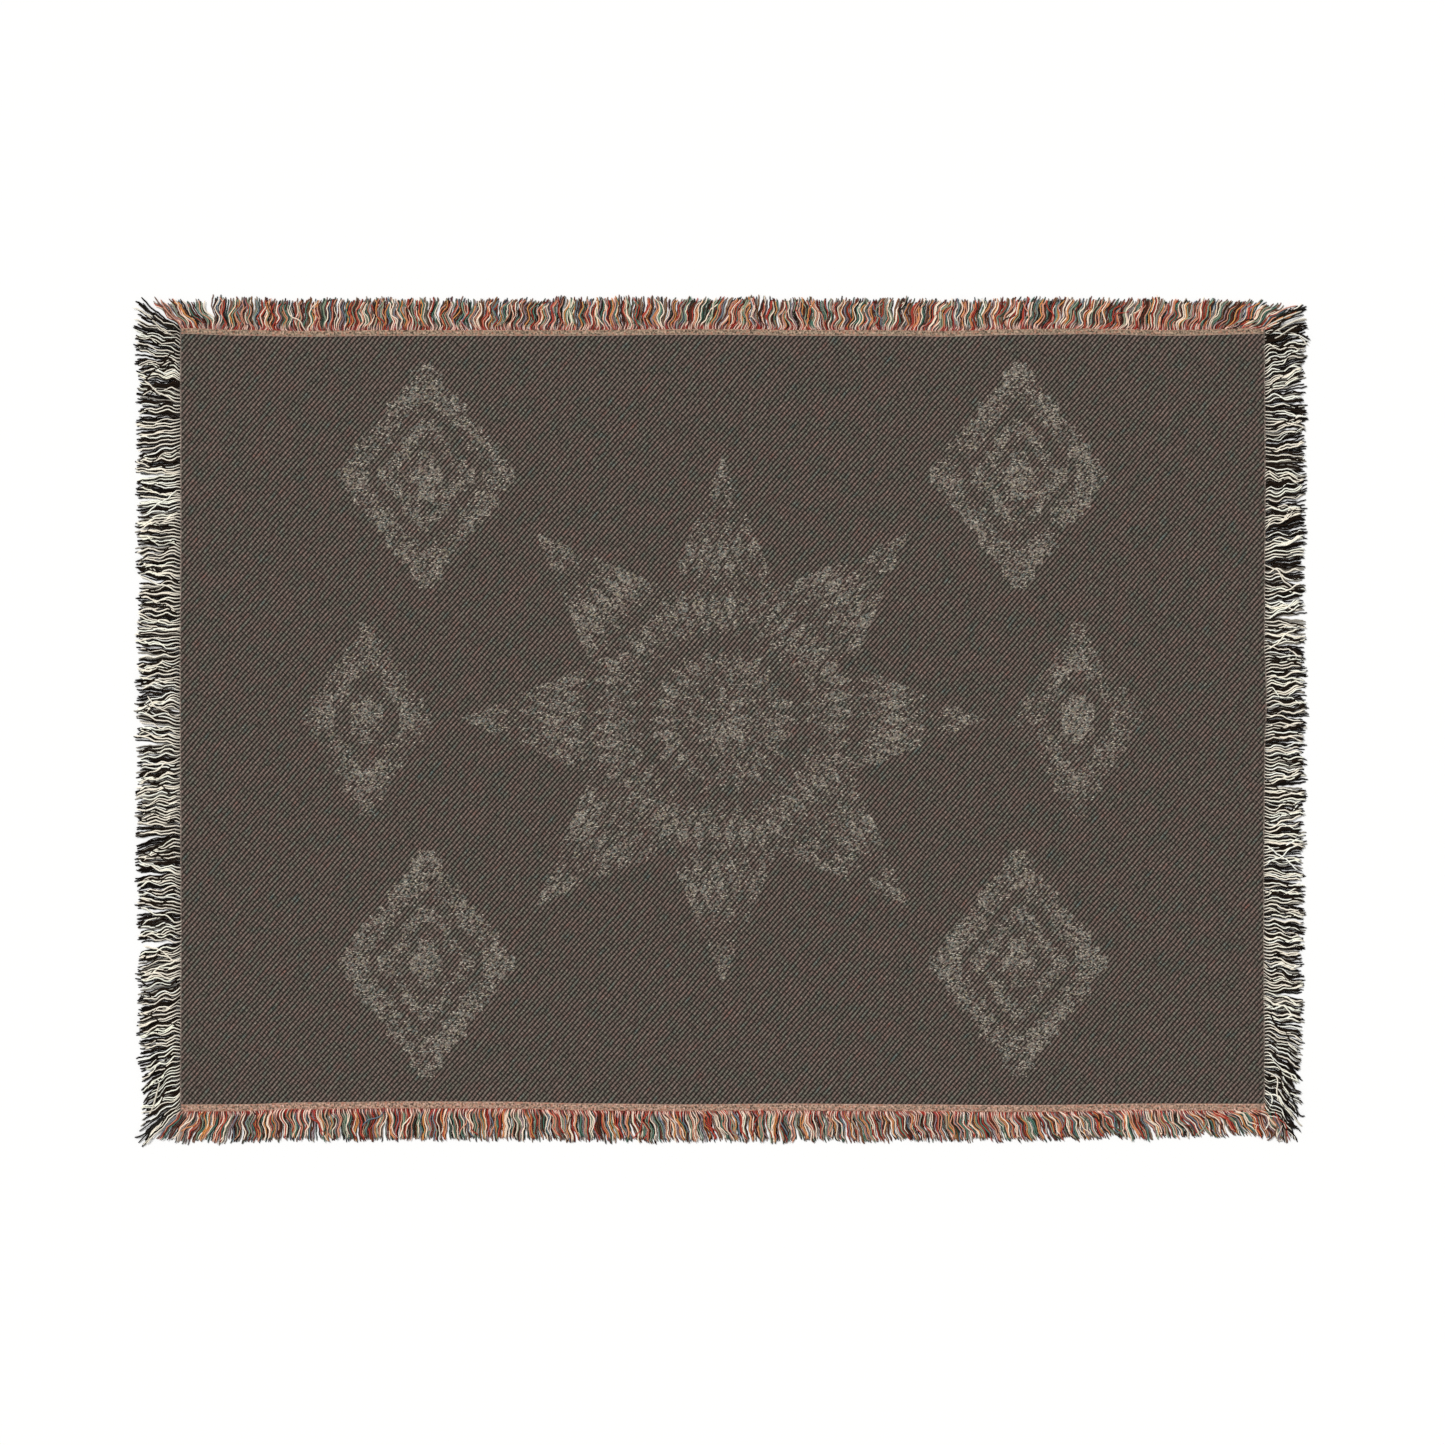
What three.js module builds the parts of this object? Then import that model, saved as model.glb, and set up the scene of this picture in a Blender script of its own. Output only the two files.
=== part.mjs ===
// A woven cotton throw blanket lying flat, face up: one woven panel whose four edges end in fringe.
// Millimetres, +Z up. The origin is on the floor under the middle of the panel, +X runs along the long side.
import * as THREE from "three";

// Driving dimensions
const PANEL_WIDTH = 1206;
const PANEL_HEIGHT = 855.5;
const CLOTH_THICKNESS = 2;
const PARTING = 0.3; // the cut between the panel and a backing strip
const LOCKS_PER_STEP = 2; // an uneven edge has one point for so many locks of its fringe

// A lock is a bunch of about fifteen yarns, lying on the floor with a flat underside.
const LOCK_SEGMENTS = 4;
const LOCK_ROOT_SHARE = 0.78; // a lock's width at its root, as a share of the spacing
const LOCK_TIP_SHARE = 0.62;
const LOCK_CREST_SHARE = 0.62; // width across the top of a lock over the width of its foot
const LOCK_CREST_HEIGHT = 4.2;
const LOCK_TIP_HEIGHT = 1.9;
const WAVE_DEG = 6; // how far the locks swing from side to side on their way out
const WAVE_REACH = 52; // how far along the edge neighbours swing together
const LENGTH_SPREAD = 0.13; // locks differ in length by this share either way
const PARTING_REACH = 22; // how far along the edge a parting pushes its neighbours aside

// How far each edge of the panel stands out past its straight line, along the edge in millimetres.
const PANEL_EDGES = {
  top: [
    { along: -603, out: 1.9 },
    { along: -535, out: 0 },
    { along: -470, out: -1.3 },
    { along: -370, out: -0.3 },
    { along: -150, out: -0.2 },
    { along: -60, out: 0.8 },
    { along: 20, out: 0.8 },
    { along: 80, out: -0.2 },
    { along: 190, out: -0.3 },
    { along: 245, out: -1.2 },
    { along: 330, out: 0.8 },
    { along: 410, out: 1.6 },
    { along: 500, out: -0.3 },
    { along: 603, out: 1.8 },
  ],
  bottom: [
    { along: -603, out: 1.2 },
    { along: -535, out: 1 },
    { along: -470, out: -1.1 },
    { along: -350, out: -2.2 },
    { along: -250, out: -2 },
    { along: -150, out: 0 },
    { along: -50, out: 1.1 },
    { along: 80, out: 0.2 },
    { along: 190, out: 1 },
    { along: 330, out: 2 },
    { along: 480, out: 0.2 },
    { along: 603, out: 0.4 },
  ],
  left: [
    { along: -428, out: 0 },
    { along: -200, out: -0.4 },
    { along: 60, out: 0.5 },
    { along: 220, out: -0.3 },
    { along: 428, out: 0 },
  ],
  right: [
    { along: -428, out: 0 },
    { along: -150, out: -0.6 },
    { along: -40, out: 0.3 },
    { along: 25, out: 2.4 },
    { along: 95, out: 0.2 },
    { along: 290, out: 1 },
    { along: 428, out: 0 },
  ],
};

// One entry for each edge's fringe. Its strip runs past the panel's two corners by the ends given here.
// A lean is in degrees from square to the edge, at the root and at the tip of a lock, and positive towards
// the end of the edge with the larger coordinate. A parting is where the locks lie away from each other.
const FRINGES = [
  {
    side: "top",
    strip: 6,
    ends: { low: 0, high: 0 },
    locks: 88,
    reach: 34,
    seed: 1,
    leans: [
      { along: -603, root: -50, tip: -38 },
      { along: -585, root: -34, tip: -24 },
      { along: -550, root: -8, tip: 2 },
      { along: -450, root: -4, tip: 10 },
      { along: -350, root: -7, tip: 2 },
      { along: -250, root: 0, tip: 14 },
      { along: -100, root: -2, tip: 14 },
      { along: -10, root: 4, tip: 20 },
      { along: 90, root: -2, tip: 3 },
      { along: 190, root: 0, tip: 12 },
      { along: 300, root: 14, tip: 18 },
      { along: 430, root: 16, tip: 24 },
      { along: 530, root: 26, tip: 28 },
      { along: 580, root: 42, tip: 44 },
      { along: 603, root: 48, tip: 52 },
    ],
    partings: [
      { at: -565, opening: 9 },
      { at: 118, opening: 5 },
      { at: 336, opening: 5 },
    ],
  },
  {
    side: "bottom",
    strip: 7,
    ends: { low: 0, high: 2.5 },
    locks: 88,
    reach: 34,
    seed: 2,
    leans: [
      { along: -603, root: -42, tip: -40 },
      { along: -580, root: -20, tip: -28 },
      { along: -540, root: -6, tip: -10 },
      { along: -450, root: 1, tip: 4 },
      { along: -350, root: -5, tip: -2 },
      { along: -250, root: -4, tip: 1 },
      { along: -150, root: 10, tip: 10 },
      { along: -60, root: 16, tip: 15 },
      { along: 30, root: 9, tip: 12 },
      { along: 110, root: 6, tip: 12 },
      { along: 200, root: 14, tip: 22 },
      { along: 300, root: 22, tip: 28 },
      { along: 400, root: 24, tip: 24 },
      { along: 490, root: 34, tip: 30 },
      { along: 570, root: 42, tip: 26 },
      { along: 611, root: 56, tip: 2 },
    ],
    partings: [
      { at: -588, opening: 5 },
      { at: -72, opening: 4 },
    ],
  },
  {
    side: "left",
    strip: 2.5,
    ends: { low: 7.3, high: 6.3 },
    locks: 62,
    reach: 44,
    seed: 3,
    leans: [
      { along: -435, root: -28, tip: -46 },
      { along: -412, root: -20, tip: -32 },
      { along: -376, root: -16, tip: -18 },
      { along: -310, root: -4, tip: -5 },
      { along: -200, root: -2, tip: -9 },
      { along: -100, root: 0, tip: -4 },
      { along: 0, root: 2, tip: 2 },
      { along: 110, root: 2, tip: 10 },
      { along: 220, root: 0, tip: -5 },
      { along: 290, root: -4, tip: -6 },
      { along: 350, root: 2, tip: 4 },
      { along: 412, root: 8, tip: 8 },
      { along: 437, root: 28, tip: 48 },
    ],
    partings: [
      { at: -374, opening: 9 },
      { at: -248, opening: 9 },
      { at: 334, opening: 6 },
    ],
  },
  {
    side: "right",
    strip: 2.5,
    ends: { low: 0, high: 6.3 },
    locks: 62,
    reach: 42,
    seed: 4,
    leans: [
      { along: -430, root: -24, tip: -78 },
      { along: -402, root: -17, tip: -56 },
      { along: -374, root: -13, tip: -32 },
      { along: -345, root: -8, tip: -9 },
      { along: -290, root: -3, tip: 0 },
      { along: -190, root: -8, tip: -7 },
      { along: -100, root: 0, tip: 5 },
      { along: 0, root: -2, tip: -6 },
      { along: 100, root: 1, tip: 1 },
      { along: 210, root: 3, tip: 8 },
      { along: 310, root: 5, tip: 5 },
      { along: 400, root: 10, tip: 6 },
      { along: 437, root: 26, tip: 16 },
    ],
    partings: [
      { at: -220, opening: 8 },
      { at: -23, opening: 4 },
      { at: 34, opening: 5 },
    ],
  },
];

const HALF_WIDTH = PANEL_WIDTH / 2;
const HALF_HEIGHT = PANEL_HEIGHT / 2;

// The value of a table's column at a place along the edge, eased from row to row.
function readTable(rows, along, column) {
  const last = rows.length - 1;
  if (along <= rows[0].along) return rows[0][column];
  if (along >= rows[last].along) return rows[last][column];
  const next = rows.findIndex((row) => row.along > along);
  const [a, b] = [rows[next - 1], rows[next]];
  const share = (along - a.along) / (b.along - a.along);
  return THREE.MathUtils.lerp(
    a[column],
    b[column],
    THREE.MathUtils.smoothstep(share, 0, 1),
  );
}

// The same number from 0 to 1 each time for a lock and a use.
function uneven(lock, seed, use) {
  const wave = Math.sin(lock * 12.9898 + seed * 78.233 + use * 37.719) * 43758.5453;
  return wave - Math.floor(wave);
}

const onEdge = {
  top: (along, out) => [along, HALF_HEIGHT + out],
  bottom: (along, out) => [along, -HALF_HEIGHT - out],
  left: (along, out) => [-HALF_WIDTH - out, along],
  right: (along, out) => [HALF_WIDTH + out, along],
};

// A point of the plan at a place along one side, out past the panel's own uneven edge.
function sidePoint(side, along, out) {
  const base = readTable(PANEL_EDGES[side], along, "out");
  return new THREE.Vector2(...onEdge[side](along, base + out));
}

// Where the panel's own edge starts and ends, measured along it.
function panelSpan(side) {
  if (side === "top" || side === "bottom") return [-HALF_WIDTH, HALF_WIDTH];
  const end = side === "left" ? -HALF_WIDTH : HALF_WIDTH;
  const corner = (edge) => HALF_HEIGHT + readTable(PANEL_EDGES[edge], end, "out");
  return [-corner("bottom"), corner("top")];
}

// Where the strip of a fringe starts and ends, measured along its edge.
function stripSpan({ side, ends }) {
  const [low, high] = panelSpan(side);
  return [low - ends.low, high + ends.high];
}

// Places along an edge for the points of its strip, each between two locks.
function stripStops(fringe) {
  const [low, high] = stripSpan(fringe);
  const steps = fringe.locks / LOCKS_PER_STEP;
  return Array.from({ length: steps + 1 }, (_, i) =>
    THREE.MathUtils.lerp(low, high, i / steps),
  );
}

// The same places as far as the panel's own edge goes, so that the parting stays even.
function panelStops(side) {
  const [low, high] = panelSpan(side);
  const fringe = FRINGES.find((row) => row.side === side);
  const between = stripStops(fringe).filter((along) => along > low + 5 && along < high - 5);
  return [low, ...between, high];
}

function edgeLine(side, out, stops) {
  return stops.map((along) => sidePoint(side, along, out));
}

// Gathers corners and faces of one closed mesh. A mirrored mesh has its faces turned over.
class MeshMaker {
  constructor(mirrored) {
    this.mirrored = mirrored;
    this.corners = [];
    this.faces = [];
  }

  corner(point, z) {
    this.corners.push(point.x, point.y, z);
    return this.corners.length / 3 - 1;
  }

  triangle(a, b, c) {
    this.faces.push(...(this.mirrored ? [a, c, b] : [a, b, c]));
  }

  quad(a, b, c, d) {
    this.triangle(a, b, c);
    this.triangle(a, c, d);
  }

  geometry() {
    const geometry = new THREE.BufferGeometry();
    const position = new THREE.Float32BufferAttribute(this.corners, 3);
    geometry.setAttribute("position", position);
    geometry.setIndex(this.faces);
    return geometry;
  }
}

// The panel: its outline, with the flat faces fanned out from the middle.
function panelGeometry() {
  const bottom = edgeLine("bottom", 0, panelStops("bottom"));
  const right = edgeLine("right", 0, panelStops("right"));
  const top = edgeLine("top", 0, panelStops("top")).reverse();
  const left = edgeLine("left", 0, panelStops("left")).reverse();
  const outline = [bottom, right, top, left].flatMap((edge) => edge.slice(0, -1));
  const maker = new MeshMaker(false);
  const middle = new THREE.Vector2(0, 0);
  const under = maker.corner(middle, 0);
  const upper = maker.corner(middle, CLOTH_THICKNESS);
  const low = outline.map((point) => maker.corner(point, 0));
  const high = outline.map((point) => maker.corner(point, CLOTH_THICKNESS));
  outline.forEach((_, i) => {
    const next = (i + 1) % outline.length;
    maker.triangle(upper, high[i], high[next]);
    maker.triangle(under, low[next], low[i]);
    maker.quad(low[i], low[next], high[next], high[i]);
  });
  return maker.geometry();
}

// How far the partings near a lock push it aside, in degrees.
function pushAt({ partings }, along) {
  return partings.reduce((sum, { at, opening }) => {
    const away = along - at;
    return sum + Math.sign(away) * opening * Math.exp(-Math.abs(away) / PARTING_REACH);
  }, 0);
}

// The line that one side of a lock follows in the plan, from the strip out to the tip.
function flowLine(fringe, along, length, push) {
  const { side, strip, leans, seed } = fringe;
  const place = { along, out: readTable(PANEL_EDGES[side], along, "out") + PARTING + strip };
  const points = [];
  for (let i = 0; i <= LOCK_SEGMENTS; i++) {
    points.push(new THREE.Vector2(...onEdge[side](place.along, place.out)));
    const share = (i + 0.5) / LOCK_SEGMENTS;
    const lean = THREE.MathUtils.lerp(
      readTable(leans, along, "root"),
      readTable(leans, along, "tip"),
      share,
    );
    const wave = WAVE_DEG * Math.sin(along / WAVE_REACH + seed + 2 * Math.PI * share);
    const heading = THREE.MathUtils.degToRad(lean + push + wave);
    place.along += (length / LOCK_SEGMENTS) * Math.sin(heading);
    place.out += (length / LOCK_SEGMENTS) * Math.cos(heading);
  }
  return points;
}

// Where a lock's root starts and ends, measured along its edge.
function lockRoot(fringe, lock) {
  const [low, high] = stripSpan(fringe);
  const spacing = (high - low) / fringe.locks;
  const along = low + (lock + 0.5) * spacing;
  const half = (spacing * LOCK_ROOT_SHARE) / 2;
  return { along, from: along - half, to: along + half };
}

// A lock grows out of four corners on the strip, in rings that are wide and flat below, narrower on top.
function addLock(maker, fringe, lock, root) {
  const { along, from, to } = lockRoot(fringe, lock);
  const length = fringe.reach * (1 + LENGTH_SPREAD * (2 * uneven(lock, fringe.seed, 1) - 1));
  const push = pushAt(fringe, along);
  const first = flowLine(fringe, from, length, push);
  const second = flowLine(fringe, to, length, push);
  const crest = LOCK_CREST_HEIGHT * (0.85 + 0.3 * uneven(lock, fringe.seed, 3));
  let ring = root;
  for (let i = 1; i <= LOCK_SEGMENTS; i++) {
    const share = i / LOCK_SEGMENTS;
    const narrowing = THREE.MathUtils.lerp(1, LOCK_TIP_SHARE / LOCK_ROOT_SHARE, share ** 2);
    const middle = first[i].clone().lerp(second[i], 0.5);
    const across = second[i].clone().sub(middle).multiplyScalar(narrowing);
    const rise = Math.sin(Math.PI * Math.min(1, share * 1.15));
    const height =
      THREE.MathUtils.lerp(CLOTH_THICKNESS, LOCK_TIP_HEIGHT, share) +
      (crest - CLOTH_THICKNESS) * rise;
    const corner = (side, z) => maker.corner(middle.clone().addScaledVector(across, side), z);
    const next = [
      corner(-1, 0),
      corner(1, 0),
      corner(LOCK_CREST_SHARE, height),
      corner(-LOCK_CREST_SHARE, height),
    ];
    maker.quad(ring[0], next[0], next[1], ring[1]);
    maker.quad(ring[1], next[1], next[2], ring[2]);
    maker.quad(ring[2], next[2], next[3], ring[3]);
    maker.quad(ring[3], next[3], next[0], ring[0]);
    ring = next;
  }
  maker.quad(ring[0], ring[3], ring[2], ring[1]);
}

// The narrow woven strip of one side, with its locks growing out of it.
function fringeGeometry(fringe) {
  const { side, strip, locks } = fringe;
  const [low, high] = stripSpan(fringe);
  const roots = Array.from({ length: locks }, (_, lock) => lockRoot(fringe, lock));
  const stops = [low, ...roots.flatMap(({ from, to }) => [from, to]), high];
  const maker = new MeshMaker(side === "bottom" || side === "right");
  const sections = stops.map((along) => {
    const inner = sidePoint(side, along, PARTING);
    const outer = sidePoint(side, along, PARTING + strip);
    return {
      inner: [maker.corner(inner, 0), maker.corner(inner, CLOTH_THICKNESS)],
      outer: [maker.corner(outer, 0), maker.corner(outer, CLOTH_THICKNESS)],
    };
  });
  sections.slice(0, -1).forEach((a, i) => {
    const b = sections[i + 1];
    maker.quad(a.inner[0], a.outer[0], b.outer[0], b.inner[0]);
    maker.quad(a.inner[1], b.inner[1], b.outer[1], a.outer[1]);
    maker.quad(a.inner[0], b.inner[0], b.inner[1], a.inner[1]);
    const root = [a.outer[0], b.outer[0], b.outer[1], a.outer[1]];
    if (i % 2 === 1) addLock(maker, fringe, (i - 1) / 2, root);
    else maker.quad(root[0], root[3], root[2], root[1]);
  });
  const [start, end] = [sections[0], sections[sections.length - 1]];
  maker.quad(start.inner[0], start.inner[1], start.outer[1], start.outer[0]);
  maker.quad(end.inner[0], end.outer[0], end.outer[1], end.inner[1]);
  return maker.geometry();
}

function cotton(colour) {
  return new THREE.MeshStandardMaterial({ color: colour, roughness: 0.92, metalness: 0 });
}

const COLOURS = {
  panel: "#544b44",
  top: "#b0705a",
  bottom: "#b0705a",
  left: "#8f897c",
  right: "#8f897c",
};

const blanket = new THREE.Group();

const panel = new THREE.Mesh(panelGeometry(), cotton(COLOURS.panel));
panel.name = "woven_panel";
blanket.add(panel);

FRINGES.forEach((fringe) => {
  const mesh = new THREE.Mesh(fringeGeometry(fringe), cotton(COLOURS[fringe.side]));
  mesh.name = `fringe_${fringe.side}`;
  blanket.add(mesh);
});

export default blanket;
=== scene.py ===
# %% [markdown]
# # A woven throw blanket, lying flat
#
# This throw is one piece of cotton cloth. A dark diagonal twill fills it, and a soft star and diamonds are
# woven into the middle. A plain band closes each end, and on all four sides the yarns are left long as
# fringe. The construction model gives the size and place of each part. Here each part gets its real looks:
# a thin sheet of cloth, its bands, and nearly five thousand loose yarns.

import math
from types import SimpleNamespace

import bpy
import numpy as np
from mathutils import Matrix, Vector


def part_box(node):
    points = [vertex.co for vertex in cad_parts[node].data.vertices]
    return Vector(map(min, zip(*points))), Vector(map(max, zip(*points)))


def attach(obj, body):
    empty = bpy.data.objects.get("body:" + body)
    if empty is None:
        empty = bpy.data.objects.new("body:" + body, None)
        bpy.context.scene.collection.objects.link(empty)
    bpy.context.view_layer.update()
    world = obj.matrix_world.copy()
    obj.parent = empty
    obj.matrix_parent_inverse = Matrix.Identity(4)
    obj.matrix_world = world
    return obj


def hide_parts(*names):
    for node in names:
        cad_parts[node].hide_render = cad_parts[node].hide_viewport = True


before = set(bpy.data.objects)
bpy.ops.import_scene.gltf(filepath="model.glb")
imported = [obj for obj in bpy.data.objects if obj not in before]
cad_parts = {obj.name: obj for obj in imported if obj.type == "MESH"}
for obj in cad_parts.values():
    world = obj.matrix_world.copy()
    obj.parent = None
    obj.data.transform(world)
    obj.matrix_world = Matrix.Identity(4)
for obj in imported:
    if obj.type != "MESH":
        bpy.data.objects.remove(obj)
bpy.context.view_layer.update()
print("parts of the model:", sorted(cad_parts))

# %% [markdown]
# ## Sizes
#
# The throw's sizes are in millimetres, as a weaver would measure them. A mesh is made in metres, so they
# are turned into metres just before it.
# The edges of a real cloth are never quite straight. Each row of these tables gives a place along an edge,
# and how far the cloth stands out there past a straight line.

# %% Sizes of the cloth and its uneven edges
WIDTH = 1206.0
HEIGHT = 855.5
CLOTH = 1.7  # thickness of the cloth
FACE = 2.0  # height of the cloth's face over the floor
PARTING = 0.3  # between the main cloth and the strips in the construction model

EDGES = {
    "top": [
        (-603, 1.9), (-535, 0), (-470, -1.3), (-370, -0.3), (-150, -0.2), (-60, 0.8), (20, 0.8),
        (80, -0.2), (190, -0.3), (245, -1.2), (330, 0.8), (410, 1.6), (500, -0.3), (603, 1.8),
    ],
    "bottom": [
        (-603, 1.2), (-535, 1), (-470, -1.1), (-350, -2.2), (-250, -2), (-150, 0), (-50, 1.1),
        (80, 0.2), (190, 1), (330, 2), (480, 0.2), (603, 0.4),
    ],
    "left": [(-428, 0), (-200, -0.4), (60, 0.5), (220, -0.3), (428, 0)],
    "right": [(-428, 0), (-150, -0.6), (-40, 0.3), (25, 2.4), (95, 0.2), (290, 1), (428, 0)],
}


def eased(rows, along, column=1):
    """A table's column at places along the edge, eased from row to row."""
    table = np.array(rows, float)
    row = np.clip(np.searchsorted(table[:, 0], along, side="right") - 1, 0, len(table) - 2)
    start, end = table[row], table[row + 1]
    share = np.clip((along - start[..., 0]) / (end[..., 0] - start[..., 0]), 0, 1)
    share = share * share * (3 - 2 * share)
    return start[..., column] + (end[..., column] - start[..., column]) * share


def on_edge(side, along, out):
    """Plan position of a place along one side, a distance out from the cloth's straight line."""
    if side == "top":
        return along, HEIGHT / 2 + out
    if side == "bottom":
        return along, -HEIGHT / 2 - out
    if side == "left":
        return -WIDTH / 2 - out, along
    return WIDTH / 2 + out, along


low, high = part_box("woven_panel")
print("cloth in the model:", [round(1000 * (b - a), 1) for a, b in zip(low, high)], "mm")

# %% [markdown]
# ## A small language for finishes
#
# A finish is a network of nodes. Wiring it by hand in code is hard to read, so one small class stands for
# the value that a socket gives, and Python's own operators add Math nodes to it. Everything else comes from
# one method that takes a node's type, its settings and what goes into its sockets.

# %% Sockets that can be added and multiplied
class Wire:
    """The value of one socket. Sums, products and the like on it add Math nodes."""

    def __init__(self, finish, socket):
        self.finish, self.socket = finish, socket

    def maths(self, operation, *others, first=None):
        terms = [self, *others] if first is None else [first, self, *others]
        return self.finish.node("ShaderNodeMath", {"operation": operation}, dict(enumerate(terms)))

    def __add__(self, other):
        return self.maths("ADD", other)

    def __mul__(self, other):
        return self.maths("MULTIPLY", other)

    def __sub__(self, other):
        return self.maths("SUBTRACT", other)

    def __truediv__(self, other):
        return self.maths("DIVIDE", other)

    def __rsub__(self, other):
        return self.maths("SUBTRACT", first=other)

    __radd__ = __add__
    __rmul__ = __mul__

    def wave(self):
        """From 0 to 1 and back once for each whole number."""
        return (self * (2 * math.pi)).maths("COSINE") * 0.5 + 0.5

    def between(self, start, end):
        """0 below start, 1 above end, and a smooth rise from one to the other."""
        values = {"Value": self, "From Min": start, "From Max": end}
        return self.finish.node("ShaderNodeMapRange", {"interpolation_type": "SMOOTHSTEP"}, values)


# %% Colours as seen on screen
def colour(red, green, blue):
    """A colour as seen on screen, 0 to 255, as the linear values that a shader works with."""
    seen = np.array([red, green, blue]) / 255
    linear = np.where(seen <= 0.04045, seen / 12.92, ((seen + 0.055) / 1.055) ** 2.4)
    return (*(float(c) for c in linear), 1.0)


print("a mid grey on screen is", [round(c, 3) for c in colour(128, 128, 128)[:3]], "to the shader")


# %% Finishes
class Finish:
    """A material, and the one way that its nodes are made."""

    def __init__(self, name, roughness=0.9, sheen=0.0, gloss=0.25):
        self.material = bpy.data.materials.new(name)
        self.material.use_nodes = True
        self.tree = self.material.node_tree
        self.shader = self.tree.nodes["Principled BSDF"]
        looks = {"Roughness": roughness, "Specular IOR Level": gloss, "Sheen Weight": sheen}
        for socket, value in {**looks, "Sheen Roughness": 0.55}.items():
            self.shader.inputs[socket].default_value = value

    def node(self, kind, settings=None, values=None, output=0):
        made = self.tree.nodes.new(kind)
        for name, value in (settings or {}).items():
            if name == "stops":
                ramp = made.color_ramp
                while len(ramp.elements) < len(value):
                    ramp.elements.new(1)
                for element, (place, shade) in zip(ramp.elements, value):
                    element.position, element.color = place, shade
            elif name == "stepped":
                made.color_ramp.interpolation = "CONSTANT" if value else "LINEAR"
            else:
                setattr(made, name, value)
        for name, value in (values or {}).items():
            if isinstance(value, Wire):
                self.tree.links.new(value.socket, made.inputs[name])
            else:
                made.inputs[name].default_value = value
        return Wire(self, made.outputs[output])

    def point(self, x, y, z):
        return self.node("ShaderNodeCombineXYZ", {}, {0: x, 1: y, 2: z})

    def parts(self, vector):
        """The x and y of a vector."""
        return [self.node("ShaderNodeSeparateXYZ", {}, {0: vector}, i) for i in (0, 1)]

    def noise(self, x, y, deal, detail=2.0):
        """Smooth noise around 0.5, in patches about one unit across. Each deal is another pattern."""
        values = {"Vector": self.point(x, y, deal), "Scale": 1.0, "Detail": detail}
        return self.node("ShaderNodeTexNoise", {"noise_dimensions": "3D"}, values)

    def chance(self, x, y, deal):
        """A number from 0 to 1 for each whole x and y, as different as dice from its neighbours."""
        cell = self.point(x.maths("FLOOR"), y.maths("FLOOR"), deal)
        return self.node("ShaderNodeTexWhiteNoise", {"noise_dimensions": "3D"}, {"Vector": cell})

    def mix(self, first, second, share):
        values = {0: share, 6: first, 7: second}
        return self.node("ShaderNodeMix", {"data_type": "RGBA"}, values, 2)

    def scaled(self, shade, amount):
        """A colour made lighter or darker by a number."""
        values = {0: shade, "Scale": amount}
        return self.node("ShaderNodeVectorMath", {"operation": "SCALE"}, values)

    def ramp(self, value, stops, stepped=False):
        return self.node("ShaderNodeValToRGB", {"stops": stops, "stepped": stepped}, {0: value})

    def paint(self, base, height, depth):
        """Sets the colour, and a relief whose height of 1 is depth millimetres, and gives the material."""
        self.tree.links.new(base.socket, self.shader.inputs["Base Color"])
        values = {"Height": height, "Strength": 1.0, "Distance": depth / 1000}
        bump = self.node("ShaderNodeBump", {}, values)
        self.tree.links.new(bump.socket, self.shader.inputs["Normal"])
        return self.material

# %% [markdown]
# ## The floor, the light and the camera
#
# The throw is shown from straight above on a floor that is nearly white. Nearly half of the light comes
# evenly from all round, which keeps the colours true. The rest is a wide soft sun from the upper left,
# across the ribs, which gives ribs and yarns their relief, and is as strong at one end of the throw as at
# the other. The camera has a long lens and stands well back, so even the edges are seen from nearly
# straight above.

# %% Floor
def nothing_selected():
    if bpy.context.object and bpy.context.object.mode != "OBJECT":
        bpy.ops.object.mode_set(mode="OBJECT")
    bpy.ops.object.select_all(action="DESELECT")


FLOOR_SIZE = 9  # metres
nothing_selected()
bpy.ops.mesh.primitive_plane_add(size=FLOOR_SIZE, location=(0, 0, 0))
floor = bpy.context.object
floor.name = "floor"
paper = Finish("floor_paper", roughness=1.0, gloss=0.0)
paper.shader.inputs["Base Color"].default_value = (0.95, 0.948, 0.94, 1)
floor.data.materials.append(paper.material)
print("floor", FLOOR_SIZE, "m wide")

# %% Light
EVEN_LIGHT = 0.45
SUN_LIGHT = 2.7
SUN_PLACE = (-1.5, 1.6, 2.2)  # only its direction counts
SUN_WIDTH = 24  # degrees across, so shadows have soft edges

world = bpy.data.worlds.new("even_light")
bpy.context.scene.world = world
world.use_nodes = True
background = world.node_tree.nodes["Background"]
background.inputs["Color"].default_value = (1, 1, 1, 1)
background.inputs["Strength"].default_value = EVEN_LIGHT

bpy.ops.object.light_add(type="SUN", location=SUN_PLACE)
sun = bpy.context.object
sun.name = "soft_sun"
sun.data.angle = math.radians(SUN_WIDTH)
sun.data.energy = SUN_LIGHT
sun.rotation_euler = (-sun.location).to_track_quat("-Z", "Y").to_euler()
print("even light of strength", EVEN_LIGHT, "and a sun of", SUN_LIGHT)

# %% Camera
FRAME_WIDTH = 1.611  # metres of floor across the picture
CAMERA_PLACE = (0.0001, -0.0035, 4.2)  # a touch off the middle of the throw, in metres
SENSOR = 36  # millimetres, the usual width
bpy.ops.object.camera_add(location=CAMERA_PLACE, rotation=(0, 0, 0))
camera = bpy.context.object
camera.name = "camera_above"
camera.data.sensor_width = SENSOR
camera.data.lens = SENSOR * CAMERA_PLACE[2] / FRAME_WIDTH
bpy.context.scene.camera = camera
bpy.context.scene.view_settings.view_transform = "Standard"
bpy.context.scene.view_settings.look = "None"
print("lens", round(camera.data.lens, 1), "mm at", CAMERA_PLACE[2], "m")

# %% [markdown]
# ## The main cloth
#
# A sheet laid flat starts as a grid. Its points are moved out to the uneven edges, and lifted a fraction
# of a millimetre here and there, because no cloth lies dead flat. A Solidify modifier then gives it its
# thickness. The ribs of the weave are far too many to model, so they are left to the finish.

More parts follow.
